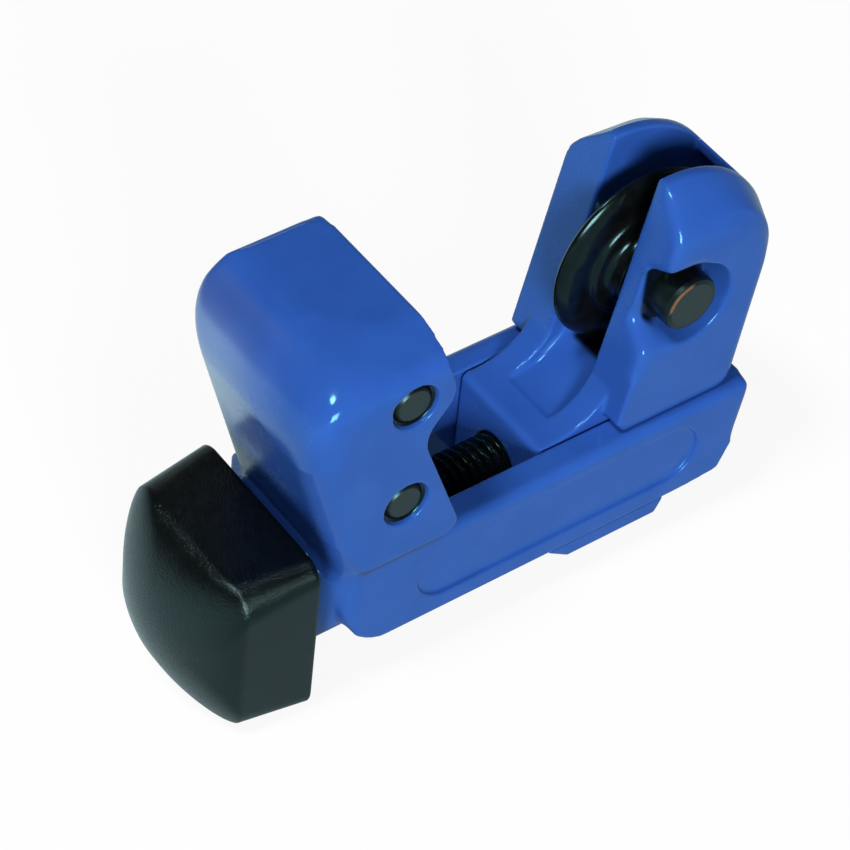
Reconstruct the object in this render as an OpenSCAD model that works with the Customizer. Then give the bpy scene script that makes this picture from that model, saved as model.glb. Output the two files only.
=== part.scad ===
// Mini tube cutter for thin-walled pipe: a C-shaped frame with two rollers,
// a slide with a cutting wheel, and a feed screw turned by a square knob.
// Lengths are in mm. X runs from the knob to the far end, Y across, Z up.
// The origin is midway between the roller pins, level with the wheel pin.

/* [Track] */
// Width across the two rails of the track
track_w = 19.8; // [18.8:0.2:22]
// Far end of the track, measured from the roller line
track_end = 43.7; // [43:0.5:56]
// Height of the rails
rail_h = 11.7; // [11.2:0.1:14]
// Thickness of each rail
rail_t = 3.4; // [3:0.1:3.8]

/* [Rollers] */
// Distance between the two roller pins
roller_pitch = 12.8; // [12.4:0.1:14]
// Outside diameter of a roller
roller_d = 9.5; // [8.6:0.1:9.7]
// Diameter of a roller pin
roller_pin_d = 4; // [3:0.25:4.5]

/* [Wheel] */
// Diameter of the cutting wheel
wheel_d = 20; // [18:0.5:21]
// Diameter of the wheel pin
wheel_pin_d = 5; // [4:0.25:5.5]
// Wheel pin, measured back from the far end of the track, as the slide is drawn
wheel_in = 9.15; // [9:0.05:13]

/* [Feed] */
// Nominal diameter of the feed screw
screw_d = 6; // [5:0.5:6.5]
// Width of the square knob
knob_w = 20.1; // [17:0.1:20.4]
// Length of the knob along the screw
knob_l = 12.7; // [10:0.1:16]
// How far the knob stands turned, in degrees
knob_turned = 1; // [0:1:90]

/* [Look] */
// Enamel of the frame and the slide
enamel = [0.05, 0.13, 0.56];
// Blackened steel
black_steel = [0.04, 0.04, 0.045];
// Bright steel
bright_steel = [0.6, 0.6, 0.62];
// Knob finish
knob_black = [0.025, 0.03, 0.03];

/* [Hidden] */
$fn = 64;
// Points along a rounded corner
arc_steps = 10;
// How far a cut runs past the face it starts from
over = 0.5;
// Thickness of the slabs that a hull spans
slab = 0.1;

// Clearances
run_gap = 0.05;
press_gap = 0.02;
slide_gap = 0.2;
rest_gap = 0.05;
knob_gap = 0.3;

// Heights
half_pitch = roller_pitch / 2;
wheel_r = wheel_d / 2;
wheel_x = track_end - wheel_in;
rail_drop = 4.2;
rail_top = -(wheel_r + rail_drop);
rail_base = rail_top - rail_h;
screw_rise = 4.9;
screw_z = rail_base + screw_rise;
roller_r = roller_d / 2;
roller_gap = 0.15;
roller_room = roller_r + roller_gap;
roof_t = 0.5;
head_top = half_pitch + roller_room + roof_t;

// Widths
half_w = track_w / 2;
pad_step = 1;
head_half = half_w + pad_step;
channel_half = half_w - rail_t;
carriage_half = channel_half - slide_gap;
ear_inset = 1.1;
ear_half = half_w - ear_inset;
slot_half = 3.3;

// Leaning wall of the head, above the knob
wall_x = -10.65;
wall_z = 1.5;
wall_slope = 0.28;
wall_lean = atan(wall_slope);
wall_round = 3.4;
wall_back_round = 5;
head_round = 7.2;
function wall_at(z) = wall_x - wall_slope * (z - wall_z);

// Jaw outline of the head: a lobe round each pin and a notch between
lobe_wall = 0.23;
lobe_x = roller_r + lobe_wall;
lip_x = 4.3;
lip_dip = 0.9;
lip_drop = 1.75;
lip_round = 0.45;
dip_round = 3;
lobe_drop = 0.5;
lobe_round = 3.4;
notch_x = 1.34;
notch_z = 1.43;
notch_round = 3.5;
pad_rise = 0.7;
pad_base = rail_top + pad_rise;
pad_slope = 0.383;
pad_x = notch_x - pad_slope * (pad_base - notch_z);
pad_round = 1.5;

// Cross outline of the head
bevel_y = 5;
bevel_drop = 1.6;
bevel_round = 8;
back_round = 1.3;
edge_round = 2.2;

// Outline of the track
track_start = -5.4;
track_round = 6.5;
end_in = 0.25;
end_mid_in = 1.05;
end_mid_drop = 7.4;
end_foot_in = 2.7;
end_foot_rise = 0.6;
ramp_in = 9.3;
end_round = 0.6;
foot_round = 0.8;
bottom_round = 0.6;
top_round = 1;
top_back_round = 1.7;
root_in = 2.16;
root_end = pad_x - root_in;
root_h = 1.2;

// Neck that carries the screw, and the channel behind it
neck_end = -8.3;
neck_half = 7.9;
neck_round = 3.4;
neck_rise = 0.2;
neck_top = rail_top + neck_rise;
channel_start = -3.4;
end_wall = 4.4;
channel_end = track_end - end_wall;

// Bare recess in each side of the track
recess_r = 3.6;
recess_depth = 0.5;
recess_rise = 6;
recess_z = rail_base + recess_rise;
recess_start = 6.8;
recess_in = 9.8;
recess_end = track_end - recess_in;

// Roller pins
pin_r = roller_pin_d / 2;
pin_back = 0.35;
pin_chamfer = 0.3;
lip_band = 0.5;
lip_r = pin_r + lip_band;
lip_depth = 0.6;
roller_l = 2 * channel_half - slide_gap;
roller_groove_depth = 0.75;
roller_groove_r = roller_r - roller_groove_depth;
roller_groove_w = 2;
roller_chamfer = 0.4;

// Slide: the carriage in the channel
nose_reach = 15.05;
nose_x = wheel_x - nose_reach;
tail_reach = 1.95;
tail_x = wheel_x + tail_reach;
nose_round = 0.8;
side_round = 1.2;
carriage_base = rail_base - rest_gap;
nose_fillet = 7;
// How far the top of the hollow curve is tucked into the tower
nose_tuck = 0.4;
slot_room = 1.3;
groove_start = 11.55;
groove_r = 8.2;
groove_reach = 4.55;

// Slide: the two ears beside the wheel
ear_base = rail_top + slide_gap;
ear_slope = 0.212;
ear_reach = 7.56;
ear_foot = wheel_x - ear_reach;
ear_head_in = 0.87;
ear_head_z = 0.1;
ear_head_wall = 2.9;
ear_head_r = wheel_r + ear_head_wall;
ear_lean = 8;
ear_back_reach = 9.85;
ear_back = wheel_x + ear_back_reach;
ear_back_round = 2.1;
ear_tail_in = 7.5;
ear_tail_round = 1.4;
// How far the middle of the tail stays inside the cheeks
tail_tuck = 0.3;
ear_chamfer = 1.2;
roof_inner = 4.4;
roof_foot = 8.8;
roof_fall = 0.96;
roof_round = 3.5;
shoulder_round = 6.8;
bridge_reach = 9;
bridge_x = wheel_x + bridge_reach;
function ear_at(z) = ear_foot + ear_slope * (z - ear_base);

// Pocket round the end of the wheel pin
wheel_pin_r = wheel_pin_d / 2;
pocket_band = 2.4;
pocket_r = wheel_pin_r + pocket_band;
pocket_depth = 3.1;
// How much narrower the pocket is at its floor
pocket_draft = 1.1;
pocket_floor = ear_half - pocket_depth;
pocket_rise = 2.6;
pocket_top = wheel_pin_r + pocket_rise;
pocket_drop = 0.6;
pocket_low = wheel_pin_r - pocket_drop;
ramp_drop = 2.3;

// Wheel
hub_half = slot_half - slide_gap;
hub_wall = 1.9;
hub_r = wheel_pin_r + hub_wall;
web_half = 1.6;
rim_band = 3.3;
web_r = wheel_r - rim_band;
bevel_half = 1;
bevel_band = 2.6;
bevel_r = wheel_r - bevel_band;
edge_half = 0.06;
hub_chamfer = 0.3;

// Wheel pin: head in the front ear, clip in a round recess of the rear ear
pin_end_chamfer = 0.25;
pin_head_band = 0.6;
pin_head_r = wheel_pin_r + pin_head_band;
pin_head_edge = 0.55;
// Where the middle of a small rounding lies
round_share = 0.3;
clip_t = 0.7;
clip_wall = 1.2;
clip_r = wheel_pin_r + clip_wall;
clip_room = clip_r + slide_gap;
clip_depth = 1.5;
clip_floor = ear_half - clip_depth;
clip_band = 1;
clip_seat = 0.4;
clip_mouth = 1.7;
clip_tooth = 1.4;
clip_gap = 0.05;

// Keeper plate under the rails
keeper_t = 1.95;
keeper_in = 0.4;
keeper_start = nose_x + keeper_in;
keeper_out = 0.25;
keeper_end = wheel_x - keeper_out;
keeper_side = 0.3;
keeper_half = half_w - keeper_side;
keeper_front = 2.5;
keeper_front_h = 1.7;
keeper_back = 0.8;
keeper_back_h = 1.5;
keeper_screw_reach = 6.65;
keeper_screw_x = wheel_x - keeper_screw_reach;
keeper_screw_y = (screw_d / 2 + run_gap + carriage_half) / 2;
keeper_screw_r = 0.9;
keeper_head_r = 1.8;
keeper_head_h = 0.9;
keeper_screw_l = 8;
driver_slot_w = 0.5;
driver_slot_h = 0.5;

// Feed screw
screw_r = screw_d / 2;
screw_engage = 8.5;
screw_tip = nose_x + screw_engage;
tip_chamfer = 0.7;
groove_depth = 0.5;
stop_clip_t = 0.8;
stop_gap = 0.1;
stop_clip_x = channel_start + stop_gap;
stop_clip_wall = 1.6;
stop_clip_r = screw_r + stop_clip_wall;

// Knob
knob_half = knob_w / 2;
knob_face = neck_end - knob_gap;
knob_tip = knob_face - knob_l;
knob_taper = 0.43;
knob_edge = 1.34;
dome_l = 4.9;
dome_power = 1.59;
dome_steps = 8;
dome_flat = 0.3;
// Share kept back so that two corner roundings never touch
tight = 0.02;
screw_seat = 8.5;
washer_t = 1;
washer_band = 2;
washer_r = screw_r + washer_band;
washer_face = neck_end - rest_gap;

// Points of the corner at b between a and c, rounded by the third value of b
function corner(a, b, c) =
    let (p = [b[0], b[1]])
    let (u = [a[0] - b[0], a[1] - b[1]])
    let (v = [c[0] - b[0], c[1] - b[1]])
    let (un = u / norm(u))
    let (vn = v / norm(v))
    let (half = acos(un * vn) / 2)
    let (r = b[2])
    let (reach = r / tan(half))
    let (mid = (un + vn) / norm(un + vn))
    let (hub = p + mid * r / sin(half))
    let (start = p + un * reach - hub)
    let (stop = p + vn * reach - hub)
    let (a0 = atan2(start[1], start[0]))
    let (turn = atan2(stop[1], stop[0]) - a0)
    let (sweep = turn > 180 ? turn - 360 : turn < -180 ? turn + 360 : turn)
    r <= 0 ? [p] : [for (i = [0 : arc_steps])
        hub + r * [cos(a0 + sweep * i / arc_steps), sin(a0 + sweep * i / arc_steps)]];

// Whole outline with every corner rounded by its own value
function soft(path) =
    let (n = len(path))
    [for (i = [0 : n - 1]) each corner(path[(i + n - 1) % n], path[i], path[(i + 1) % n])];

// Points along an arc about [x, z]
function arc(x, z, r, a0, a1) =
    [for (i = [0 : 2 * arc_steps])
        let (a = a0 + (a1 - a0) * i / (2 * arc_steps))
        [x + r * cos(a), z + r * sin(a)]];

// Stands an X-Z outline up with a width across the part
module across(width, y_mid = 0) {
    translate([0, y_mid + width / 2, 0])
        rotate([90, 0, 0])
            linear_extrude(width)
                children();
}

// Runs a Y-Z outline along the part
module along(x_from, x_to) {
    translate([x_from, 0, 0])
        rotate([90, 0, 90])
            linear_extrude(x_to - x_from)
                children();
}

// Round bar across the part
module bar(x, z, r, y_from, y_to) {
    translate([x, y_to, z])
        rotate([90, 0, 0])
            cylinder(h = y_to - y_from, r = r);
}

// Round bar along the part
module rod(z, r, x_from, x_to) {
    translate([x_from, 0, z])
        rotate([0, 90, 0])
            cylinder(h = x_to - x_from, r = r);
}

// Turned piece about a line across the part; the outline lists [radius, y]
module turned(x, z, outline) {
    translate([x, 0, z])
        rotate([-90, 0, 0])
            rotate_extrude()
                polygon(outline);
}

// Side view of the head
module head_side() {
    polygon(soft([
        [lip_x, head_top, lip_round],
        [lip_x - lip_dip, head_top - lip_drop, dip_round],
        [lobe_x, half_pitch - lobe_drop, lobe_round],
        [notch_x, notch_z, notch_round],
        [pad_x, pad_base, pad_round],
        [wall_at(pad_base), pad_base, 0],
        [wall_at(head_top), head_top, head_round]]));
}

// End view of the head: bevel at the front edge, rounding at the back edge
module head_end() {
    polygon(soft([
        [-head_half, pad_base - over, 0],
        [-head_half, head_top - bevel_drop, edge_round],
        [-bevel_y, head_top, bevel_round],
        [head_half, head_top, back_round],
        [head_half, pad_base - over, 0]]));
}

// Plan of the head, square to its leaning wall
module head_plan() {
    far = 2 * track_end;
    polygon(soft([
        [0, -head_half, wall_round],
        [0, head_half, wall_back_round],
        [far, head_half, 0],
        [far, -head_half, 0]]));
}

module head_block() {
    tall = 2 * track_end;
    intersection() {
        across(2 * head_half + over) head_side();
        along(wall_at(head_top) - over, pad_x + over) head_end();
        translate([wall_x, 0, wall_z])
            rotate([0, -wall_lean, 0])
                translate([0, 0, -tall / 2])
                    linear_extrude(tall)
                        head_plan();
    }
}

// Side view of the track, up to the rail tops
module track_side() {
    polygon(soft([
        [track_start, rail_base, track_round],
        [track_end - ramp_in, rail_base, 0],
        [track_end - end_foot_in, rail_base + end_foot_rise, foot_round],
        [track_end - end_mid_in, rail_top - end_mid_drop, foot_round],
        [track_end + end_in, rail_top, end_round],
        [track_start, rail_top, 0]]));
}

// End view of the track
module track_section() {
    polygon(soft([
        [-half_w, rail_base, bottom_round],
        [half_w, rail_base, bottom_round],
        [half_w, rail_top, top_back_round],
        [-half_w, rail_top, top_round]]));
}

module track_block() {
    intersection() {
        across(2 * half_w + over) track_side();
        along(track_start - over, track_end + over) track_section();
    }
}

// Joins the head to the track under its pads
module root_block() {
    low = rail_top - root_h - wall_round;
    intersection() {
        across(2 * half_w)
            polygon([
                [wall_at(low), low],
                [root_end, low],
                [root_end, pad_base + root_h],
                [wall_at(pad_base + root_h), pad_base + root_h]]);
        translate([wall_x, 0, wall_z])
            rotate([0, -wall_lean, 0])
                translate([0, 0, -2 * track_end])
                    linear_extrude(2 * track_end)
                        head_plan();
    }
}

// Rounded block through which the screw leaves the frame
module neck_block() {
    along(neck_end, channel_start)
        polygon(soft([
            [-neck_half, rail_base, neck_round],
            [neck_half, rail_base, neck_round],
            [neck_half, neck_top, neck_round],
            [-neck_half, neck_top, neck_round]]));
}

// Room for the rollers, open to the jaw and down into the channel
module jaw_room() {
    bar(0, half_pitch, roller_room, -channel_half, channel_half);
    bar(0, -half_pitch, roller_room, -channel_half, channel_half);
    across(2 * channel_half)
        polygon([
            [0, half_pitch + roller_room],
            [pad_x + over, half_pitch + roller_room],
            [pad_x + over, rail_top - over],
            [channel_start, rail_top - over],
            [channel_start, -half_pitch],
            [0, -half_pitch]]);
}

// Open window between the rails
module channel_room() {
    translate([channel_start, -channel_half, rail_base - over])
        cube([channel_end - channel_start, 2 * channel_half, rail_h + 2 * over]);
}

// Shallow bare recess, on the side that s names
module side_recess(s) {
    y0 = s > 0 ? half_w - recess_depth : -half_w - over;
    y1 = s > 0 ? half_w + over : recess_depth - half_w;
    bar(recess_start, recess_z, recess_r, y0, y1);
    bar(recess_end, recess_z, recess_r, y0, y1);
    translate([recess_start, y0, recess_z - recess_r])
        cube([recess_end - recess_start, y1 - y0, 2 * recess_r]);
}

module pin_hole(z) {
    bar(0, z, pin_r + press_gap, -head_half - over, head_half + over);
    bar(0, z, lip_r, -head_half - over, lip_depth - head_half);
    bar(0, z, lip_r, head_half - lip_depth, head_half + over);
}

module body() {
    color(enamel)
        difference() {
            union() {
                head_block();
                root_block();
                track_block();
                neck_block();
            }
            jaw_room();
            channel_room();
            side_recess(1);
            side_recess(-1);
            pin_hole(half_pitch);
            pin_hole(-half_pitch);
            rod(screw_z, screw_r + run_gap, neck_end - over, channel_start + over);
        }
}

// Side view of the carriage with the hollow curve up to the ears
module carriage_side() {
    top = ear_base + 2 * nose_fillet;
    polygon(soft([
        [nose_x, carriage_base, nose_round],
        [nose_x, rail_top, nose_round],
        [ear_at(rail_top), rail_top, nose_fillet],
        [ear_at(top) + nose_tuck, top, 0],
        [tail_x, top, 0],
        [tail_x, carriage_base, 0]]));
}

// End view of the carriage with its long edges rounded
module carriage_end() {
    top = ear_base + 3 * nose_fillet;
    polygon(soft([
        [-carriage_half, carriage_base, 0],
        [carriage_half, carriage_base, 0],
        [carriage_half, top, side_round],
        [-carriage_half, top, side_round]]));
}

// Side view of the tower at its full height
module ear_side() {
    hx = wheel_x - ear_head_in;
    top = ear_head_z + ear_head_r;
    polygon(concat(
        [[ear_at(ear_base + ear_chamfer), ear_base + ear_chamfer],
         [ear_at(ear_base) + ear_chamfer, ear_base],
         [wheel_x + ear_tail_in - ear_tail_round - tail_tuck, ear_base],
         [wheel_x + ear_tail_in - tail_tuck, ear_base + ear_tail_round]],
        arc(hx, ear_head_z, ear_head_r, -ear_lean, acos((ear_at(top) - hx) / ear_head_r))));
}

// Side view of the tower where its roof has come down to z, its back pulled in
module ear_cheek(z, pull) {
    back = ear_back - pull;
    low = z - roof_fall;
    lean = tan(ear_lean);
    polygon(soft([
        [ear_at(ear_base + ear_chamfer), ear_base + ear_chamfer, 0],
        [ear_at(ear_base) + ear_chamfer, ear_base, 0],
        [back + lean * (ear_base - ear_head_z), ear_base, ear_tail_round],
        [back + lean * (low - ear_head_z), low, shoulder_round],
        [ear_at(z), z, 0]]));
}

// Tower as one skin over slabs that follow its roof and its rounded back
module ear_block() {
    ridge = ear_head_z + ear_head_r;
    brow = corner([roof_inner, ridge], [ear_half, roof_foot, roof_round], [ear_half, ear_base]);
    hull() {
        across(2 * roof_inner) ear_side();
        for (side = [-1, 1])
            for (i = [0 : arc_steps / 2 : arc_steps]) {
                y = brow[i][0] - slab / 2;
                deep = max(0, y - (ear_half - ear_back_round));
                pull = ear_back_round - sqrt(pow(ear_back_round, 2) - pow(deep, 2));
                across(slab, side * y) ear_cheek(brow[i][1], pull);
            }
    }
}

// Slot for the wheel, running out in a hollow curve over the nose
module wheel_slot() {
    open_top = ear_head_z + ear_head_r + over;
    slot_r = wheel_r + slot_room;
    meet = acos(-groove_reach / slot_r);
    sweep = asin((groove_start - groove_reach) / groove_r);
    across(2 * slot_half)
        polygon(concat(
            arc(wheel_x - groove_start, rail_top + groove_r, groove_r, -90, sweep - 90),
            arc(wheel_x, 0, slot_r, -meet, acos((bridge_x - wheel_x) / slot_r)),
            [[bridge_x, open_top],
             [wheel_x - groove_start, open_top]]));
}

// Pocket in the outer face of the front ear, open at its leaning edge
module pin_pocket() {
    y0 = -ear_half - over;
    y1 = -pocket_floor;
    spread = (ear_half + over - pocket_floor) / (ear_half - pocket_floor);
    inner_r = pocket_r - pocket_draft;
    inner_top = pocket_top - pocket_draft;
    translate([wheel_x, y1, 0])
        rotate([90, 0, 0])
            cylinder(h = y1 - y0, r1 = inner_r, r2 = inner_r + pocket_draft * spread);
    along(wheel_x - wheel_r, wheel_x)
        polygon([
            [y1, -pocket_low],
            [y0, -pocket_low - ramp_drop * spread],
            [y0, inner_top + pocket_draft * spread],
            [y1, inner_top]]);
}

module keeper_hole(y) {
    translate([keeper_screw_x, y, carriage_base - over])
        cylinder(h = keeper_screw_l + over, r = keeper_screw_r + press_gap);
}

module slide() {
    color(enamel)
        difference() {
            union() {
                intersection() {
                    across(2 * carriage_half) carriage_side();
                    along(nose_x - over, tail_x + over) carriage_end();
                }
                ear_block();
            }
            wheel_slot();
            pin_pocket();
            bar(wheel_x, 0, wheel_pin_r + press_gap, -ear_half - over, ear_half + over);
            bar(wheel_x, 0, clip_room, clip_floor, ear_half + over);
            rod(screw_z, screw_r + run_gap, nose_x - over, tail_x + over);
            keeper_hole(keeper_screw_y);
            keeper_hole(-keeper_screw_y);
        }
}

module keeper_countersink(y) {
    translate([keeper_screw_x, y, carriage_base - keeper_t - over])
        cylinder(h = keeper_t + 2 * over, r = keeper_screw_r + slide_gap);
    translate([keeper_screw_x, y, carriage_base - keeper_t - over])
        cylinder(h = keeper_head_h + over, r = keeper_head_r + press_gap);
}

module keeper_plate() {
    low = carriage_base - keeper_t;
    color(enamel)
        difference() {
            across(2 * keeper_half)
                polygon([
                    [keeper_start, carriage_base],
                    [keeper_start, low + keeper_front_h],
                    [keeper_start + keeper_front, low],
                    [keeper_end - keeper_back, low],
                    [keeper_end, low + keeper_back_h],
                    [keeper_end, carriage_base]]);
            keeper_countersink(keeper_screw_y);
            keeper_countersink(-keeper_screw_y);
        }
}

module keeper_screw(y) {
    low = carriage_base - keeper_t;
    difference() {
        translate([keeper_screw_x, y, low])
            rotate_extrude()
                polygon([
                    [0, 0],
                    [keeper_head_r, 0],
                    [keeper_head_r, keeper_head_h],
                    [keeper_screw_r, keeper_head_h],
                    [keeper_screw_r, keeper_screw_l],
                    [0, keeper_screw_l]]);
        translate([keeper_screw_x - driver_slot_w / 2, y - keeper_head_r - over, low - over])
            cube([driver_slot_w, 2 * (keeper_head_r + over), driver_slot_h + over]);
    }
}

module keeper_screws() {
    color(bright_steel) {
        keeper_screw(keeper_screw_y);
        keeper_screw(-keeper_screw_y);
    }
}

// Hardened wheel: broad hub, thin web, sharp edge
module cutting_wheel() {
    bore = wheel_pin_r + run_gap;
    color(black_steel)
        turned(wheel_x, 0, [
            [bore, -hub_half],
            [hub_r - hub_chamfer, -hub_half],
            [hub_r, hub_chamfer - hub_half],
            [hub_r, -web_half],
            [web_r, -web_half],
            [bevel_r, -bevel_half],
            [wheel_r, -edge_half],
            [wheel_r, edge_half],
            [bevel_r, bevel_half],
            [web_r, web_half],
            [hub_r, web_half],
            [hub_r, hub_half - hub_chamfer],
            [hub_r - hub_chamfer, hub_half],
            [bore, hub_half]]);
}

// Pin with a round head in the front ear and a groove for its clip at the rear
module wheel_pin() {
    c = pin_end_chamfer;
    e = pin_head_edge;
    m = pin_head_edge * round_share;
    g = wheel_pin_r - clip_seat;
    g0 = clip_floor + clip_gap;
    g1 = g0 + clip_t + clip_gap;
    color(black_steel)
        turned(wheel_x, 0, [
            [0, -ear_half],
            [pin_head_r - e, -ear_half],
            [pin_head_r - m, m - ear_half],
            [pin_head_r, e - ear_half],
            [pin_head_r, -pocket_floor],
            [wheel_pin_r, -pocket_floor],
            [wheel_pin_r, g0],
            [g, g0],
            [g, g1],
            [wheel_pin_r, g1],
            [wheel_pin_r, ear_half - c],
            [wheel_pin_r - c, ear_half],
            [0, ear_half]]);
}

// Spring clip: an open ring with three teeth that reach into the groove
module clip_outline(outer, seat) {
    difference() {
        circle(r = outer);
        circle(r = outer - clip_band);
        translate([-clip_mouth, -outer - over])
            square([2 * clip_mouth, outer + over]);
    }
    for (a = [0, 90, 180])
        rotate([0, 0, a])
            difference() {
                translate([seat / 2, -clip_tooth / 2])
                    square([outer - clip_band / 2 - seat / 2, clip_tooth]);
                circle(r = seat);
            }
}

module wheel_clip() {
    color(black_steel)
        translate([wheel_x, clip_floor + clip_gap + clip_t, 0])
            rotate([90, 0, 0])
                linear_extrude(clip_t)
                    rotate([0, 0, -60])
                        clip_outline(clip_r, wheel_pin_r - clip_seat + press_gap);
}

// Roller with a groove that lets the wheel edge come close
module roller(z) {
    h = roller_l / 2;
    g = roller_groove_w / 2;
    c = roller_chamfer;
    bore = pin_r + run_gap;
    color(bright_steel)
        turned(0, z, [
            [bore, -h],
            [roller_r - c, -h],
            [roller_r, c - h],
            [roller_r, -g],
            [roller_groove_r, -g],
            [roller_groove_r, g],
            [roller_r, g],
            [roller_r, h - c],
            [roller_r - c, h],
            [bore, h]]);
}

module upper_roller() {
    roller(half_pitch);
}

module lower_roller() {
    roller(-half_pitch);
}

module roller_pin(z) {
    h = head_half - pin_back;
    c = pin_chamfer;
    color(black_steel)
        turned(0, z, [
            [0, -h],
            [pin_r - c, -h],
            [pin_r, c - h],
            [pin_r, h - c],
            [pin_r - c, h],
            [0, h]]);
}

module upper_roller_pin() {
    roller_pin(half_pitch);
}

module lower_roller_pin() {
    roller_pin(-half_pitch);
}

// Feed screw at its full diameter, with the groove for its clip
module feed_screw() {
    g = screw_r - groove_depth;
    g0 = stop_clip_x;
    g1 = stop_clip_x + stop_clip_t + clip_gap;
    start = knob_face - screw_seat;
    color(black_steel)
        translate([0, 0, screw_z])
            rotate([0, 90, 0])
                rotate_extrude()
                    polygon([
                        [0, start],
                        [screw_r - tip_chamfer, start],
                        [screw_r, start + tip_chamfer],
                        [screw_r, g0],
                        [g, g0],
                        [g, g1],
                        [screw_r, g1],
                        [screw_r, screw_tip - tip_chamfer],
                        [screw_r - tip_chamfer, screw_tip],
                        [0, screw_tip]]);
}

// Slab of the knob at x with half width w and corner radius r
module knob_slab(x, w, r) {
    along(x, x + slab)
        polygon(soft([
            [-w, -w, r],
            [w, -w, r],
            [w, w, r],
            [-w, w, r]]));
}

// Square knob narrowing slightly outwards, then domed until its corners run out
module knob_shape() {
    shoulder = knob_half - knob_taper;
    hull() {
        knob_slab(knob_face - slab, knob_half, knob_edge);
        for (i = [0 : dome_steps]) {
            t = 1 - pow(1 - i / dome_steps, 2);
            w = max(dome_flat, shoulder * sqrt(1 - pow(t, dome_power)));
            r = min(w * (1 - tight), knob_edge + (w - knob_edge) * t);
            knob_slab(knob_tip + dome_l * (1 - t), w, r);
        }
    }
}

module knob() {
    color(knob_black)
        difference() {
            translate([0, 0, screw_z])
                rotate([knob_turned, 0, 0])
                    knob_shape();
            rod(screw_z, screw_r + press_gap, knob_face - screw_seat - press_gap, knob_face + over);
            rod(screw_z, washer_r + run_gap, washer_face - washer_t, knob_face + over);
        }
}

// Plain washer sunk in the knob, bearing on the neck
module thrust_washer() {
    color(bright_steel)
        difference() {
            rod(screw_z, washer_r, washer_face - washer_t, washer_face);
            rod(screw_z, screw_r + run_gap, washer_face - washer_t - over, washer_face + over);
        }
}

// Clip that keeps the screw from being pushed out of the frame
module screw_clip() {
    color(black_steel)
        translate([stop_clip_x, 0, screw_z])
            rotate([90, 0, 90])
                linear_extrude(stop_clip_t)
                    clip_outline(stop_clip_r, screw_r - groove_depth + press_gap);
}

body();
slide();
keeper_plate();
keeper_screws();
cutting_wheel();
wheel_pin();
wheel_clip();
upper_roller();
lower_roller();
upper_roller_pin();
lower_roller_pin();
feed_screw();
knob();
thrust_washer();
screw_clip();
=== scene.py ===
"""Looks of the mini tube cutter: enamel, blackened steel, thread, grain, light and camera."""
import math

import bmesh
import bpy
from mathutils import Matrix, Vector


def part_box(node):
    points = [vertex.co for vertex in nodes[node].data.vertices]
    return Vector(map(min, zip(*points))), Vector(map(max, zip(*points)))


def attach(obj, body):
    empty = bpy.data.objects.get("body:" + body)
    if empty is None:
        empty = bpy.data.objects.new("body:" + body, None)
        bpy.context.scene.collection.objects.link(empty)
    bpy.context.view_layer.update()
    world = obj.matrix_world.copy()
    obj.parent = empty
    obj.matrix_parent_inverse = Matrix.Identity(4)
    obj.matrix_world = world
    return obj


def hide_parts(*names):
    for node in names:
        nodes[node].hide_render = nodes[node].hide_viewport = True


MM = 0.001

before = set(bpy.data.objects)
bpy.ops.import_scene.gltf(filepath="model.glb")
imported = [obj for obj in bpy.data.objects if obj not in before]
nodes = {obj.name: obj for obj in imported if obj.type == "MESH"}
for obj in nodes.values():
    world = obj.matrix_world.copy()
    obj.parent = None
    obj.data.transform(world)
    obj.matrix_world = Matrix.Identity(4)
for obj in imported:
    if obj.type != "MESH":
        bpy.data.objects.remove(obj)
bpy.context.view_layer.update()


# Materials: tools for building them

def new_material(name):
    """A material that holds a Principled shader and its output."""
    material = bpy.data.materials.new(name)
    material.use_nodes = True
    tree = material.node_tree
    tree.nodes.clear()
    out = tree.nodes.new("ShaderNodeOutputMaterial")
    shader = tree.nodes.new("ShaderNodeBsdfPrincipled")
    tree.links.new(shader.outputs["BSDF"], out.inputs["Surface"])
    return material, tree, shader


def add(tree, kind, **values):
    """A shader node whose settings and sockets are given by name."""
    node = tree.nodes.new(kind)
    for key, value in values.items():
        if hasattr(node, key):
            setattr(node, key, value)
        else:
            node.inputs[key.replace("_", " ")].default_value = value
    return node


def maths(tree, operation, a, b):
    """The result of one sum on two values, each a socket or a number."""
    node = tree.nodes.new("ShaderNodeMath")
    node.operation = operation
    for slot, value in zip(node.inputs, (a, b)):
        if isinstance(value, (int, float)):
            slot.default_value = value
        else:
            tree.links.new(value, slot)
    return node.outputs[0]


def ramp(tree, value, stops):
    """A colour ramp; each stop is a place and a grey or a colour."""
    node = tree.nodes.new("ShaderNodeValToRGB")
    tree.links.new(value, node.inputs["Fac"])
    marks = node.color_ramp.elements
    while len(marks) < len(stops):
        marks.new(0.5)
    for mark, (spot, tone) in zip(marks, stops):
        mark.position = spot
        mark.color = (tone, tone, tone, 1) if isinstance(tone, (int, float)) else (*tone, 1)
    return node.outputs["Color"]


def all_of(tree, *shares):
    """The product of several masks."""
    total = shares[0]
    for share in shares[1:]:
        total = maths(tree, "MULTIPLY", total, share)
    return total


def fade(tree, value, start, end):
    """A soft step from 0 at the start to 1 at the end; the start may be the larger one."""
    node = tree.nodes.new("ShaderNodeMapRange")
    node.interpolation_type = "SMOOTHSTEP"
    tree.links.new(value, node.inputs["Value"])
    node.inputs["From Min"].default_value = min(start, end)
    node.inputs["From Max"].default_value = max(start, end)
    node.inputs["To Min"].default_value = 0.0 if start < end else 1.0
    node.inputs["To Max"].default_value = 1.0 if start < end else 0.0
    return node.outputs["Result"]


def blend(tree, share, first, second):
    """Mixes two colours, each a socket or a colour, by a share."""
    node = tree.nodes.new("ShaderNodeMix")
    node.data_type = "RGBA"
    tree.links.new(share, node.inputs[0])
    for slot, tone in zip((node.inputs[6], node.inputs[7]), (first, second)):
        if isinstance(tone, tuple):
            slot.default_value = (*tone, 1)
        else:
            tree.links.new(tone, slot)
    return node.outputs[2]


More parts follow.
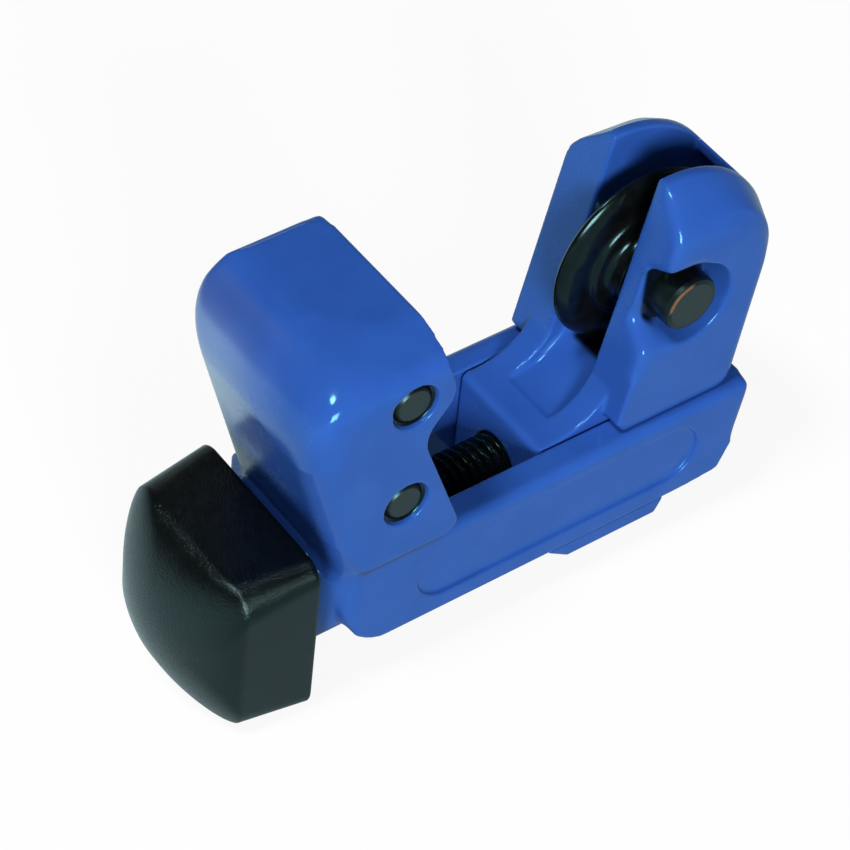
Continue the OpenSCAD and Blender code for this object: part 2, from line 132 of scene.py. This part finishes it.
def place_of(tree, kind="Object"):
    """X, Y and Z of a point on the piece, in metres, or of its "Normal", as three sockets."""
    coordinates = tree.nodes.new("ShaderNodeTexCoord")
    parts = tree.nodes.new("ShaderNodeSeparateXYZ")
    tree.links.new(coordinates.outputs[kind], parts.inputs[0])
    return parts.outputs["X"], parts.outputs["Y"], parts.outputs["Z"]


def bump(tree, shader, height, strength, depth):
    """Feeds a height, in metres of depth, to the shader's normal."""
    node = tree.nodes.new("ShaderNodeBump")
    node.inputs["Strength"].default_value = strength
    node.inputs["Distance"].default_value = depth
    tree.links.new(height, node.inputs["Height"])
    tree.links.new(node.outputs["Normal"], shader.inputs["Normal"])


def new_group(name, inputs, outputs):
    """An empty node group with named sockets."""
    tree = bpy.data.node_groups.new(name, "ShaderNodeTree")
    for label, kind, value in inputs:
        socket = tree.interface.new_socket(label, in_out="INPUT", socket_type=kind)
        if value is not None:
            socket.default_value = value
    for label, kind in outputs:
        tree.interface.new_socket(label, in_out="OUTPUT", socket_type=kind)
    return tree, tree.nodes.new("NodeGroupInput"), tree.nodes.new("NodeGroupOutput")


def place(tree, group, **values):
    """Puts a node group into a material, fed by the piece's own coordinates."""
    node = tree.nodes.new("ShaderNodeGroup")
    node.node_tree = group
    coordinates = tree.nodes.new("ShaderNodeTexCoord")
    tree.links.new(coordinates.outputs["Object"], node.inputs["Point"])
    for key, value in values.items():
        node.inputs[key.replace("_", " ")].default_value = value
    return node


def make_grain_group():
    """Unevenness of a painted or cast skin: a broad wave with fine grit in it."""
    tree, start, end = new_group(
        "skin_grain",
        [("Point", "NodeSocketVector", None), ("Scale", "NodeSocketFloat", 400.0),
         ("Grit Scale", "NodeSocketFloat", 3000.0), ("Grit Share", "NodeSocketFloat", 0.4)],
        [("Height", "NodeSocketFloat"), ("Patches", "NodeSocketFloat")])
    link = tree.links.new
    wave = add(tree, "ShaderNodeTexNoise", Detail=2.0, Roughness=0.5)
    link(start.outputs["Point"], wave.inputs["Vector"])
    link(start.outputs["Scale"], wave.inputs["Scale"])
    grit = add(tree, "ShaderNodeTexNoise", Detail=3.0, Roughness=0.65)
    link(start.outputs["Point"], grit.inputs["Vector"])
    link(start.outputs["Grit Scale"], grit.inputs["Scale"])
    mix = add(tree, "ShaderNodeMix", data_type="FLOAT")
    link(start.outputs["Grit Share"], mix.inputs[0])
    link(wave.outputs["Fac"], mix.inputs[2])
    link(grit.outputs["Fac"], mix.inputs[3])
    link(mix.outputs[0], end.inputs["Height"])
    link(wave.outputs["Fac"], end.inputs["Patches"])
    return tree


def make_turning_group():
    """Fine rings that a lathe leaves round an axis across the cutter."""
    tree, start, end = new_group(
        "turning_marks",
        [("Point", "NodeSocketVector", None), ("Axis X", "NodeSocketFloat", 0.0),
         ("Axis Z", "NodeSocketFloat", 0.0), ("Rings", "NodeSocketFloat", 6000.0)],
        [("Height", "NodeSocketFloat"), ("Radius", "NodeSocketFloat")])
    link = tree.links.new
    parts = tree.nodes.new("ShaderNodeSeparateXYZ")
    link(start.outputs["Point"], parts.inputs[0])
    across = maths(tree, "SUBTRACT", parts.outputs["X"], start.outputs["Axis X"])
    upward = maths(tree, "SUBTRACT", parts.outputs["Z"], start.outputs["Axis Z"])
    square = maths(tree, "ADD", maths(tree, "MULTIPLY", across, across),
                   maths(tree, "MULTIPLY", upward, upward))
    radius = maths(tree, "SQRT", square, 0.0)
    total = maths(tree, "ADD", radius, maths(tree, "MULTIPLY", parts.outputs["Y"], 0.6))
    rings = add(tree, "ShaderNodeTexNoise", noise_dimensions="1D", Detail=3.0, Roughness=0.6)
    link(total, rings.inputs["W"])
    link(start.outputs["Rings"], rings.inputs["Scale"])
    link(rings.outputs["Fac"], end.inputs["Height"])
    link(radius, end.inputs["Radius"])
    return tree


skin_grain = make_grain_group()
turning_marks = make_turning_group()


# Materials: the cutter's finishes

def make_enamel(name, shade=None, coat=None):
    """Blue gloss enamel over a die-cast piece.

    Shade, if given, paints shade and shadow into dark places, and coat a place with a glossier
    skin. The faces towards the knob are duller than the rest, as the enamel lies thinner there.
    """
    material, tree, shader = new_material(name)
    grain = place(tree, skin_grain, Scale=210.0, Grit_Scale=2600.0, Grit_Share=0.35)
    colour = ramp(tree, grain.outputs["Patches"],
                  [(0.3, (0.021, 0.084, 0.375)), (0.7, (0.025, 0.094, 0.41))])
    if shade:
        # painted shade: each share darkens the base colour towards a dark tone
        for share, tone in shade(tree, turning_marks):
            colour = blend(tree, share, colour, tone)
    tree.links.new(colour, shader.inputs["Base Color"])
    gloss = ramp(tree, grain.outputs["Height"], [(0.35, 0.1), (0.65, 0.18)])
    dull = ramp(tree, grain.outputs["Height"], [(0.35, 0.2), (0.65, 0.3)])
    facing_x = place_of(tree, "Normal")[0]
    gloss = blend(tree, fade(tree, facing_x, -0.7, -0.93), gloss, dull)
    tree.links.new(gloss, shader.inputs["Roughness"])
    bump(tree, shader, grain.outputs["Height"], 0.3, 0.00005)
    shader.inputs["Specular IOR Level"].default_value = 0.38
    shader.inputs["Specular Tint"].default_value = (0.3, 0.9, 1.0, 1)
    if coat:
        tree.links.new(coat(tree), shader.inputs["Coat Weight"])
        shader.inputs["Coat Roughness"].default_value = 0.28
        shader.inputs["Coat IOR"].default_value = 2.7
    return material


def frame_shade(tree, turning):
    """Painted shade in the gap round the roller pins, a painted shadow line under the head's pads,
    and painted shade on the foot of its wall.
    """
    # painted shade: a near-black ring on the recess floor in the gap round each roller pin
    for side in (1, -1):
        ring = place(tree, turning, Axis_X=0.0, Axis_Z=side * roller_pin_z)
        yield fade(tree, ring.outputs["Radius"], 2.46 * MM, 2.34 * MM), (0.0015, 0.002, 0.003)
    x, y, z = place_of(tree)
    # painted shadow: a grey line on the track's side just under the pads' lower edge
    outside = fade(tree, maths(tree, "ABSOLUTE", y, 0.0), 9.7 * MM, 9.95 * MM)
    lower_edge = fade(tree, z, pad_low - 1.0 * MM, pad_low - 0.35 * MM)
    upper_edge = fade(tree, z, pad_low + 0.25 * MM, pad_low)
    jaw_end = fade(tree, x, 7.6 * MM, 4.0 * MM)
    wall_end = fade(tree, x, -5.5 * MM, -3.0 * MM)
    yield all_of(tree, outside, lower_edge, upper_edge, jaw_end, wall_end, 0.8), (0.03, 0.05, 0.07)
    # painted shade: the lower part of the wall above the knob, where the knob shades it, is made
    # near-black
    wall = fade(tree, x, -5.2 * MM, -6.4 * MM)
    foot = fade(tree, z, -4 * MM, -10 * MM)
    behind_edge = fade(tree, y, -9.4 * MM, -7.2 * MM)
    yield all_of(tree, wall, foot, behind_edge, 0.85), (0.002, 0.006, 0.03)


def wall_gloss(tree):
    """Thicker, shinier enamel at the upper rear of the wall above the knob."""
    x, y, z = place_of(tree)
    wall = fade(tree, x, -6.5 * MM, -8.5 * MM)
    upper = fade(tree, z, -9 * MM, 0.0)
    rear = fade(tree, y, -7 * MM, 7 * MM)
    return all_of(tree, wall, upper, rear)


def slide_shade(tree, turning):
    """Painted shade in the slot under the wheel, and in the pocket round the pin's head."""
    x, y, z = place_of(tree)
    # painted shade: a near-black strip on the slot floor just below the wheel
    ring = place(tree, turning, Axis_X=wheel_centre.x, Axis_Z=0.0)
    outer = fade(tree, ring.outputs["Radius"], 12.1 * MM, 11.4 * MM)
    inner = fade(tree, ring.outputs["Radius"], 9.0 * MM, 10.4 * MM)
    strip = fade(tree, maths(tree, "ABSOLUTE", y, 0.0), 2.6 * MM, 1.6 * MM)
    low = fade(tree, z, -5.0 * MM, -8.0 * MM)
    yield all_of(tree, outer, inner, strip, low), (0.0015, 0.003, 0.012)
    # painted shade: near-black in the pocket round the pin's head, reaching further to the upper
    # left
    upper_left = place(tree, turning, Axis_X=wheel_centre.x - 0.75 * MM, Axis_Z=0.75 * MM)
    pocket = fade(tree, upper_left.outputs["Radius"], 4.5 * MM, 3.9 * MM)
    below_rim = fade(tree, y, -7.6 * MM, -6.8 * MM)
    ear_edge = fade(tree, x, wheel_centre.x - 4.0 * MM, wheel_centre.x - 3.4 * MM)
    front_ear = fade(tree, y, -4.5 * MM, -5.2 * MM)
    yield all_of(tree, pocket, below_rim, ear_edge, front_ear), (0.002, 0.004, 0.012)


def make_black_steel(name, axis_x, axis_z, rings, rough, face=None, shine=0.5):
    """Blackened turned steel; face, if given, is the radius of a paler ground end.

    Rings is how close the lathe's marks lie, rough the least roughness, and shine how much
    of the room the skin mirrors.
    """
    material, tree, shader = new_material(name)
    marks = place(tree, turning_marks, Axis_X=axis_x, Axis_Z=axis_z, Rings=rings)
    grain = place(tree, skin_grain, Scale=700.0, Grit_Scale=5200.0, Grit_Share=0.5)
    colour = ramp(tree, grain.outputs["Patches"],
                  [(0.3, (0.0015, 0.002, 0.002)), (0.7, (0.004, 0.005, 0.005))])
    gloss = ramp(tree, grain.outputs["Height"], [(0.35, rough), (0.65, rough + 0.12)])
    if face:
        end = fade(tree, marks.outputs["Radius"], face + 0.05 * MM, face - 0.05 * MM)
        colour = blend(tree, end, colour, (0.0135, 0.0175, 0.017))
    tree.links.new(colour, shader.inputs["Base Color"])
    tree.links.new(gloss, shader.inputs["Roughness"])
    height = maths(tree, "ADD", maths(tree, "MULTIPLY", marks.outputs["Height"], 0.7),
                   maths(tree, "MULTIPLY", grain.outputs["Height"], 0.3))
    bump(tree, shader, height, 0.25, 0.00003)
    shader.inputs["Specular IOR Level"].default_value = shine
    shader.inputs["Specular Tint"].default_value = (0.45, 0.95, 1.0, 1)
    return material, tree, shader, marks


def make_wheel_pin_steel():
    """Black pin whose head has a ground face and copper-coloured metal on the upper-left of the
    head's edge only, where the light catches it: partly the pin's own colour, partly a painted
    highlight.
    """
    material, tree, shader, marks = make_black_steel(
        "wheel_pin_black", wheel_centre.x, 0.0, 5200.0, 0.3, 2.5 * MM)
    x, y, z = place_of(tree)
    # painted highlight: copper-coloured metal laid only on the upper-left curve of the head's
    # edge, the side the light catches
    inner = fade(tree, marks.outputs["Radius"], 2.42 * MM, 2.5 * MM)
    outer = fade(tree, marks.outputs["Radius"], 2.82 * MM, 2.7 * MM)
    up_left = maths(tree, "SUBTRACT", z, maths(tree, "SUBTRACT", x, wheel_centre.x))
    arc = fade(tree, up_left, 2.6 * MM, 3.4 * MM)
    front = fade(tree, y, -8.2 * MM, -8.45 * MM)
    copper_highlight = all_of(tree, inner, outer, arc, front)
    plain = shader.inputs["Base Color"].links[0].from_socket
    tree.links.new(blend(tree, copper_highlight, plain, (0.45, 0.2, 0.1)), shader.inputs["Base Color"])
    tree.links.new(copper_highlight, shader.inputs["Metallic"])
    return material


def make_bright_steel():
    """Bright turned steel of the rollers, the washer and the screws."""
    material, tree, shader = new_material("turned_steel")
    marks = place(tree, turning_marks, Axis_X=0.0, Axis_Z=0.0, Rings=5000.0)
    grain = place(tree, skin_grain, Scale=500.0, Grit_Scale=5000.0, Grit_Share=0.7)
    colour = ramp(tree, grain.outputs["Patches"],
                  [(0.3, (0.56, 0.56, 0.54)), (0.7, (0.62, 0.61, 0.59))])
    tree.links.new(colour, shader.inputs["Base Color"])
    gloss = ramp(tree, grain.outputs["Height"], [(0.35, 0.24), (0.65, 0.32)])
    tree.links.new(gloss, shader.inputs["Roughness"])
    bump(tree, shader, marks.outputs["Height"], 0.25, 0.00002)
    shader.inputs["Metallic"].default_value = 1.0
    return material


def make_knob_paint():
    """Black paint with a fine, hard grain."""
    material, tree, shader = new_material("knob_paint")
    grain = place(tree, skin_grain, Scale=900.0, Grit_Scale=5200.0, Grit_Share=0.85)
    colour = ramp(tree, grain.outputs["Patches"],
                  [(0.3, (0.0006, 0.0008, 0.0008)), (0.7, (0.0016, 0.002, 0.002))])
    tree.links.new(colour, shader.inputs["Base Color"])
    gloss = ramp(tree, grain.outputs["Height"], [(0.35, 0.16), (0.65, 0.26)])
    tree.links.new(gloss, shader.inputs["Roughness"])
    bump(tree, shader, grain.outputs["Height"], 0.9, 0.00007)
    shader.inputs["Specular IOR Level"].default_value = 0.46
    shader.inputs["Specular Tint"].default_value = (0.6, 0.96, 1.0, 1)
    return material


wheel_low, wheel_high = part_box("cutting_wheel")
wheel_centre = (wheel_low + wheel_high) / 2
roller_pin_z = sum(corner.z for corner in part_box("upper_roller_pin")) / 2
pad_low = -14.4 * MM  # height of the shaded line under the head's pads
frame_enamel = make_enamel("frame_enamel", frame_shade, wall_gloss)
slide_enamel = make_enamel("slide_enamel", slide_shade)
keeper_enamel = make_enamel("keeper_enamel")
wheel_black = make_black_steel("wheel_black", wheel_centre.x, 0.0, 4200.0, 0.13,
                               shine=0.32)[0]
upper_pin_black = make_black_steel("upper_pin_black", 0.0, roller_pin_z, 5200.0, 0.3,
                                   1.78 * MM)[0]
lower_pin_black = make_black_steel("lower_pin_black", 0.0, -roller_pin_z, 5200.0, 0.3,
                                   1.78 * MM)[0]
wheel_pin_black = make_wheel_pin_steel()
screw_black = make_black_steel("screw_black", 0.0, 0.0, 900.0, 0.2)[0]
turned_steel = make_bright_steel()
knob_paint = make_knob_paint()

finish_of = {
    "body": frame_enamel, "slide": slide_enamel, "keeper_plate": keeper_enamel,
    "cutting_wheel": wheel_black, "wheel_clip": wheel_black, "wheel_pin": wheel_pin_black,
    "upper_roller_pin": upper_pin_black, "lower_roller_pin": lower_pin_black,
    "feed_screw": screw_black, "screw_clip": screw_black,
    "keeper_screws": turned_steel, "upper_roller": turned_steel,
    "lower_roller": turned_steel, "thrust_washer": turned_steel, "knob": knob_paint}

for name, finish in finish_of.items():
    piece = nodes[name]
    piece.data.materials.clear()
    piece.data.materials.append(finish)
    for face in piece.data.polygons:
        face.use_smooth = True


# Soft edges of the cast pieces, fine edges of the turned ones

def make_relax_group():
    """Relaxes a skin near one place: each point moves to the mean of its neighbours."""
    tree = bpy.data.node_groups.new("relax_near", "GeometryNodeTree")
    for label, kind in (("Geometry", "NodeSocketGeometry"), ("Centre", "NodeSocketVector"),
                        ("Reach", "NodeSocketVector"), ("Rounds", "NodeSocketInt")):
        tree.interface.new_socket(label, in_out="INPUT", socket_type=kind)
    tree.interface.new_socket("Geometry", in_out="OUTPUT", socket_type="NodeSocketGeometry")
    start = tree.nodes.new("NodeGroupInput")
    end = tree.nodes.new("NodeGroupOutput")
    link = tree.links.new
    spot = tree.nodes.new("GeometryNodeInputPosition")
    away = tree.nodes.new("ShaderNodeVectorMath")
    away.operation = "SUBTRACT"
    link(spot.outputs[0], away.inputs[0])
    link(start.outputs["Centre"], away.inputs[1])
    scaled = tree.nodes.new("ShaderNodeVectorMath")
    scaled.operation = "DIVIDE"
    link(away.outputs[0], scaled.inputs[0])
    link(start.outputs["Reach"], scaled.inputs[1])
    length = tree.nodes.new("ShaderNodeVectorMath")
    length.operation = "LENGTH"
    link(scaled.outputs[0], length.inputs[0])
    weight = tree.nodes.new("ShaderNodeMapRange")
    weight.interpolation_type = "SMOOTHSTEP"
    link(length.outputs["Value"], weight.inputs["Value"])
    weight.inputs["From Min"].default_value = 0.6
    weight.inputs["From Max"].default_value = 1.0
    weight.inputs["To Min"].default_value = 1.0
    weight.inputs["To Max"].default_value = 0.0
    blur = tree.nodes.new("GeometryNodeBlurAttribute")
    blur.data_type = "FLOAT_VECTOR"
    link(spot.outputs[0], next(i for i in blur.inputs if i.name == "Value" and i.enabled))
    link(start.outputs["Rounds"], blur.inputs["Iterations"])
    link(weight.outputs["Result"], blur.inputs["Weight"])
    move = tree.nodes.new("GeometryNodeSetPosition")
    link(start.outputs["Geometry"], move.inputs["Geometry"])
    link(next(o for o in blur.outputs if o.enabled), move.inputs["Position"])
    link(move.outputs[0], end.inputs["Geometry"])
    return tree


relax_near = make_relax_group()


def soften(name, voxel, rounds):
    """Wraps a cast piece in a fine skin and relaxes it, so that no edge stays sharp."""
    piece = nodes[name]
    skin = piece.modifiers.new("skin", "REMESH")
    skin.mode = "VOXEL"
    skin.voxel_size = voxel * MM
    skin.use_smooth_shade = True
    relax = piece.modifiers.new("relax", "SMOOTH")
    relax.factor = 0.5
    relax.iterations = rounds


def soften_near(name, label, centre, reach, rounds):
    """Rounds one place of a cast piece more; centre and reach are in mm."""
    extra = nodes[name].modifiers.new(label, "NODES")
    extra.node_group = relax_near
    values = {"Centre": Vector(centre) * MM, "Reach": Vector(reach) * MM,
              "Rounds": rounds}
    for item in relax_near.interface.items_tree:
        if item.name in values:
            extra[item.identifier] = values[item.name]


def break_edges(name, width):
    """Breaks the edges of a turned or stamped piece by a small bevel."""
    piece = nodes[name]
    bevel = piece.modifiers.new("broken_edges", "BEVEL")
    bevel.width = width * MM
    bevel.segments = 2
    bevel.limit_method = "ANGLE"
    bevel.angle_limit = math.radians(28)
    bevel.use_clamp_overlap = True
    split = piece.modifiers.new("edge_shading", "EDGE_SPLIT")
    split.split_angle = math.radians(32)


for name, rounds in {"body": 12, "slide": 24, "keeper_plate": 8}.items():
    soften(name, 0.14, rounds)
for name, label, centre, reach, rounds in (
        ("body", "head_corner", (-9, -6.5, 9.5), (9, 7.5, 8), 480),
        ("body", "head_rear_corner", (4, 10.5, 11.5), (2.2, 2.2, 2.2), 30),
        ("body", "head_left_round", (-9.5, 5, 8.5), (5, 10, 5.5), 50),
        ("body", "wall_foot", (-8.5, -8.5, -15.5), (5, 4.5, 6.5), 160),
        ("body", "track_start", (-5.4, -9.5, -19), (2.4, 3, 6), 120),
        ("body", "track_far_corner", (43.5, -9.9, -17), (2.5, 2.5, 6), 70),
        ("slide", "pocket_ramp", (29.2, -8, -3), (4, 3, 5), 90),
        ("slide", "front_hip", (33, -7.5, 8.5), (5, 4, 6), 110)):
    soften_near(name, label, centre, reach, rounds)
for name, width in {
        "wheel_pin": 0.08, "wheel_clip": 0.08, "upper_roller": 0.1, "lower_roller": 0.1,
        "upper_roller_pin": 0.12, "lower_roller_pin": 0.12,
        "keeper_screws": 0.08, "thrust_washer": 0.1, "screw_clip": 0.08}.items():
    break_edges(name, width)


# Turned and lofted pieces: what their making has in common

def join_rings(mesh, rings):
    """Joins each ring of points to the next one by a band of faces."""
    count = len(rings[0])
    for a, b in zip(rings, rings[1:]):
        for k in range(count):
            mesh.faces.new((a[k], a[(k + 1) % count], b[(k + 1) % count], b[k]))


def close_ends(mesh, rings):
    """Closes the first and the last ring by a face."""
    mesh.faces.new(list(reversed(rings[0])))
    mesh.faces.new(rings[-1])


def piece_from(mesh, name, material, split_degrees):
    """A smooth-shaded piece of the built mesh, with edges sharper than the angle kept crisp."""
    bmesh.ops.recalc_face_normals(mesh, faces=mesh.faces)
    data = bpy.data.meshes.new(name)
    mesh.to_mesh(data)
    mesh.free()
    for face in data.polygons:
        face.use_smooth = True
    piece = bpy.data.objects.new(name, data)
    bpy.context.collection.objects.link(piece)
    data.materials.append(material)
    split = piece.modifiers.new("edge_shading", "EDGE_SPLIT")
    split.split_angle = math.radians(split_degrees)
    return piece


# Feed screw with its real thread

def thread_radius(share, major, minor):
    """Radius of the thread at a share of its pitch: crest, flank, round root, flank."""
    crest = 0.08  # half width of the crest, as a share of the pitch
    root = 0.14  # half width of the root
    reach = abs(share - 0.5)
    if reach > 0.5 - crest:
        return major
    if reach < root:
        return minor
    climb = (reach - root) / (0.5 - crest - root)
    return minor + (major - minor) * climb


def make_feed_screw():
    """Screw with a right-hand thread of 1 mm pitch, on the shank that carries the knob."""
    low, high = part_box("feed_screw")
    clip_low, clip_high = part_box("screw_clip")
    axis_z = (low.z + high.z) / 2
    major = (high.z - low.z) / 2
    minor = major - 0.6 * MM
    groove = major - 0.5 * MM
    end_bevel = 0.7 * MM
    pitch = 1.0 * MM
    thread_start = -2.0 * MM
    run_in = 0.8 * MM
    run_out = 0.9 * MM
    points_round = 64
    steps_a_turn = 12
    mesh = bmesh.new()
    rings = []

    def ring(x, radius_of):
        row = []
        for k in range(points_round):
            angle = 2 * math.pi * k / points_round
            r = radius_of(k / points_round, x)
            row.append(mesh.verts.new((x, r * math.cos(angle), axis_z + r * math.sin(angle))))
        rings.append(row)

    shank = [(low.x, major - end_bevel), (low.x + end_bevel, major),
             (clip_low.x - 0.05 * MM, major), (clip_low.x, groove),
             (clip_high.x + 0.05 * MM, groove), (clip_high.x + 0.1 * MM, major),
             (thread_start - 0.1 * MM, major)]
    for x, r in shank:
        ring(x, lambda k, at, r=r: r)

    def threaded(k, x):
        share = ((x - thread_start) / pitch - k) % 1.0
        depth = thread_radius(share, major, minor)
        lead_in = min(1.0, max(0.0, (x - thread_start) / run_in))
        end_room = max(0.0, (high.x - x) / run_out)
        r = major + (depth - major) * lead_in
        return min(r, minor + (major - minor) * end_room)

    count = int(round((high.x - thread_start) / pitch * steps_a_turn))
    for i in range(count + 1):
        ring(thread_start + (high.x - thread_start) * i / count, threaded)
    join_rings(mesh, rings)
    close_ends(mesh, rings)
    screw = piece_from(mesh, "threaded_feed_screw", screw_black, 50)
    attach(screw, "feed")
    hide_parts("feed_screw")


make_feed_screw()


# Knob: the square grip with its domed end, smooth all round

def make_knob():
    """Lofts the knob from rounded squares, on the same measures as the solid one."""
    low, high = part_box("knob")
    axis_z = (low.z + high.z) / 2
    turned = math.radians(1.0)
    half = 10.05 * MM
    shoulder = half - 0.43 * MM
    back = high.x
    tip = low.x
    dome = 4.9 * MM
    dome_power = 1.59
    back_round = 0.35 * MM
    back_corner = 2.1 * MM
    dome_corner = 3.2 * MM
    sections = []
    for k in range(6):
        lean = math.pi / 2 * k / 5
        inset = back_round * (1 - math.sin(lean))
        sections.append((back - back_round * (1 - math.cos(lean)), half - inset, back_corner))
    side_start = back - back_round
    straight = 24
    for k in range(1, straight):
        t = k / straight
        sections.append((side_start + (tip + dome - side_start) * t,
                         half + (shoulder - half) * t,
                         back_corner + (dome_corner - back_corner) * t))
    steps = 56
    for k in range(steps + 1):
        t = 1 - (1 - k / steps) ** 2
        w = max(0.25 * MM, shoulder * math.sqrt(max(0.0, 1 - t ** dome_power)))
        r = dome_corner + (w - dome_corner) * t
        sections.append((tip + dome * (1 - t), w, min(r, w * 0.98)))
    corner_steps = 14
    side_steps = 24
    mesh = bmesh.new()
    rings = []
    for x, w, r in sections:
        row = []
        for quarter in range(4):
            turn = math.pi / 2 * quarter
            flat = [(w, -(w - r) + 2 * (w - r) * k / side_steps) for k in range(side_steps)]
            bend = [(w - r + r * math.cos(math.pi / 2 * k / corner_steps),
                     w - r + r * math.sin(math.pi / 2 * k / corner_steps))
                    for k in range(corner_steps)]
            for y, z in flat + bend:
                angle = turn + turned
                row.append(mesh.verts.new((
                    x, y * math.cos(angle) - z * math.sin(angle),
                    axis_z + y * math.sin(angle) + z * math.cos(angle))))
        rings.append(row)
    join_rings(mesh, rings)
    close_ends(mesh, rings)
    grip = piece_from(mesh, "smooth_knob", knob_paint, 50)
    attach(grip, "feed")
    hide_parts("knob")


make_knob()


# Cutting wheel with its turned hub, shoulder and ground edge

def make_cutting_wheel():
    """The wheel turned from one outline: hub, fillet, low shoulder, side and ground edge.

    Each point of the outline is a radius and a distance from the wheel's middle, in mm.
    """
    side = [(r * MM, y * MM) for r, y in (
        (2.55, 2.95), (2.7, 3.1), (4.0, 3.1), (4.25, 3.02), (4.36, 2.85), (4.42, 2.5),
        (4.55, 2.0), (4.8, 1.68), (5.2, 1.5), (5.7, 1.42), (6.0, 1.36), (6.15, 1.22),
        (6.3, 1.06), (6.6, 0.97), (7.2, 0.93), (8.5, 0.88), (9.0, 0.76), (9.6, 0.44),
        (9.86, 0.24), (9.97, 0.08), (10.0, 0.02))]
    outline = [(r, -y) for r, y in side] + [(r, y) for r, y in reversed(side)]
    points_round = 160
    mesh = bmesh.new()
    rings = []
    for r, y in outline:
        row = []
        for k in range(points_round):
            angle = 2 * math.pi * k / points_round
            row.append(mesh.verts.new((wheel_centre.x + r * math.cos(angle), y,
                                       wheel_centre.z + r * math.sin(angle))))
        rings.append(row)
    join_rings(mesh, rings + rings[:1])
    wheel = piece_from(mesh, "turned_cutting_wheel", wheel_black, 35)
    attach(wheel, "wheel")
    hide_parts("cutting_wheel")


make_cutting_wheel()


# Floor, light and camera

def make_floor():
    """A white floor under the knob, the lowest piece; it keeps a soft shadow.

    The camera sees it nearly white. Mirrored in the enamel it is a little cooler, and
    dimmer in front of the cutter than behind it, a painted reflection. To all other rays it is a
    plain grey.
    """
    low = min(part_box(name)[0].z for name in nodes)
    reach = 4.0
    data = bpy.data.meshes.new("floor")
    data.from_pydata([(-reach, -reach, low), (reach, -reach, low), (reach, reach, low),
                      (-reach, reach, low)], [], [(0, 1, 2, 3)])
    floor = bpy.data.objects.new("floor", data)
    bpy.context.collection.objects.link(floor)
    material, tree, shader = new_material("floor_white")
    shader.inputs["Roughness"].default_value = 0.9
    shader.inputs["Specular IOR Level"].default_value = 0.0
    glow = tree.nodes.new("ShaderNodeEmission")
    rays = tree.nodes.new("ShaderNodeLightPath")
    mirrored = maths(tree, "MAXIMUM", rays.outputs["Is Glossy Ray"],
                     rays.outputs["Is Transmission Ray"])
    seen = maths(tree, "MAXIMUM", rays.outputs["Is Camera Ray"], mirrored)
    x, y, z = place_of(tree)
    # painted reflection: for mirrored rays the floor is dimmed in front of the cutter
    backward = maths(tree, "SUBTRACT", y, maths(tree, "MULTIPLY", x, 0.6))
    in_front = fade(tree, backward, 40 * MM, -10 * MM)
    dimmed = all_of(tree, mirrored, in_front, 0.45)
    plain = blend(tree, seen, (0.35, 0.35, 0.35), (0.92, 0.92, 0.92))
    # painted reflection tint: mirrored rays see the floor, and its glow below, cool blue-green
    plain = blend(tree, mirrored, plain, (0.66, 0.88, 0.92))
    tree.links.new(blend(tree, dimmed, plain, (0.0, 0.0, 0.0)), shader.inputs["Base Color"])
    tree.links.new(maths(tree, "SUBTRACT", 1.0, dimmed), glow.inputs["Strength"])
    tree.links.new(blend(tree, mirrored, (1.0, 1.0, 1.0), (0.72, 0.95, 1.0)),
                   glow.inputs["Color"])
    share = maths(tree, "SUBTRACT", maths(tree, "MULTIPLY", seen, 0.9),
                  maths(tree, "MULTIPLY", mirrored, 0.72))
    mix = tree.nodes.new("ShaderNodeMixShader")
    tree.links.new(share, mix.inputs[0])
    tree.links.new(shader.outputs["BSDF"], mix.inputs[1])
    tree.links.new(glow.outputs[0], mix.inputs[2])
    out = next(n for n in tree.nodes if n.type == "OUTPUT_MATERIAL")
    tree.links.new(mix.outputs[0], out.inputs["Surface"])
    data.materials.append(material)


make_floor()


def make_world():
    """A dim room, a little lighter at the height of the horizon."""
    world = bpy.data.worlds.new("studio")
    bpy.context.scene.world = world
    world.use_nodes = True
    tree = world.node_tree
    background = tree.nodes["Background"]
    coordinates = tree.nodes.new("ShaderNodeTexCoord")
    parts = tree.nodes.new("ShaderNodeSeparateXYZ")
    tree.links.new(coordinates.outputs["Generated"], parts.inputs[0])
    tone = ramp(tree, parts.outputs["Z"], [(0.0, 0.25), (0.5, 0.03)])
    tree.links.new(tone, background.inputs["Color"])
    background.inputs["Strength"].default_value = 1.0


make_world()


def softbox(name, towards, distance, size, level):
    """A square lamp that alone would light a white card facing it to the given level."""
    light = bpy.data.lights.new(name, "AREA")
    light.shape = "SQUARE"
    light.size = size
    light.energy = level * math.pi ** 2 * distance ** 2
    lamp = bpy.data.objects.new(name, light)
    centre = Vector((0.01, 0, -0.005))
    lamp.location = centre + Vector(towards).normalized() * distance
    lamp.rotation_euler = (centre - lamp.location).to_track_quat("-Z", "Y").to_euler()
    bpy.context.collection.objects.link(lamp)


softbox("key_box", (-0.38, -0.02, 0.92), 1.2, 0.22, 0.62)
softbox("front_box", (-0.38, -0.85, 0.36), 1.5, 0.5, 1.03)
softbox("rear_box", (0.35, 0.85, 0.38), 1.5, 0.3, 0.03)

camera = bpy.data.cameras.new("photo_camera")
camera.lens = 150.07
camera.sensor_width = 36.0
camera.clip_start = 0.01
photo_camera = bpy.data.objects.new("photo_camera", camera)
right = Vector((0.8096, -0.5825, 0.0727))
up = Vector((0.3789, 0.6131, 0.6932))
back = Vector((-0.4484, -0.5336, 0.7171))
turn = Matrix((right, up, back)).transposed().to_4x4()
photo_camera.matrix_world = Matrix.Translation((-0.14244, -0.18175, 0.23326)) @ turn
bpy.context.collection.objects.link(photo_camera)
bpy.context.scene.camera = photo_camera
bpy.context.scene.view_settings.view_transform = "Standard"

bpy.context.view_layer.update()
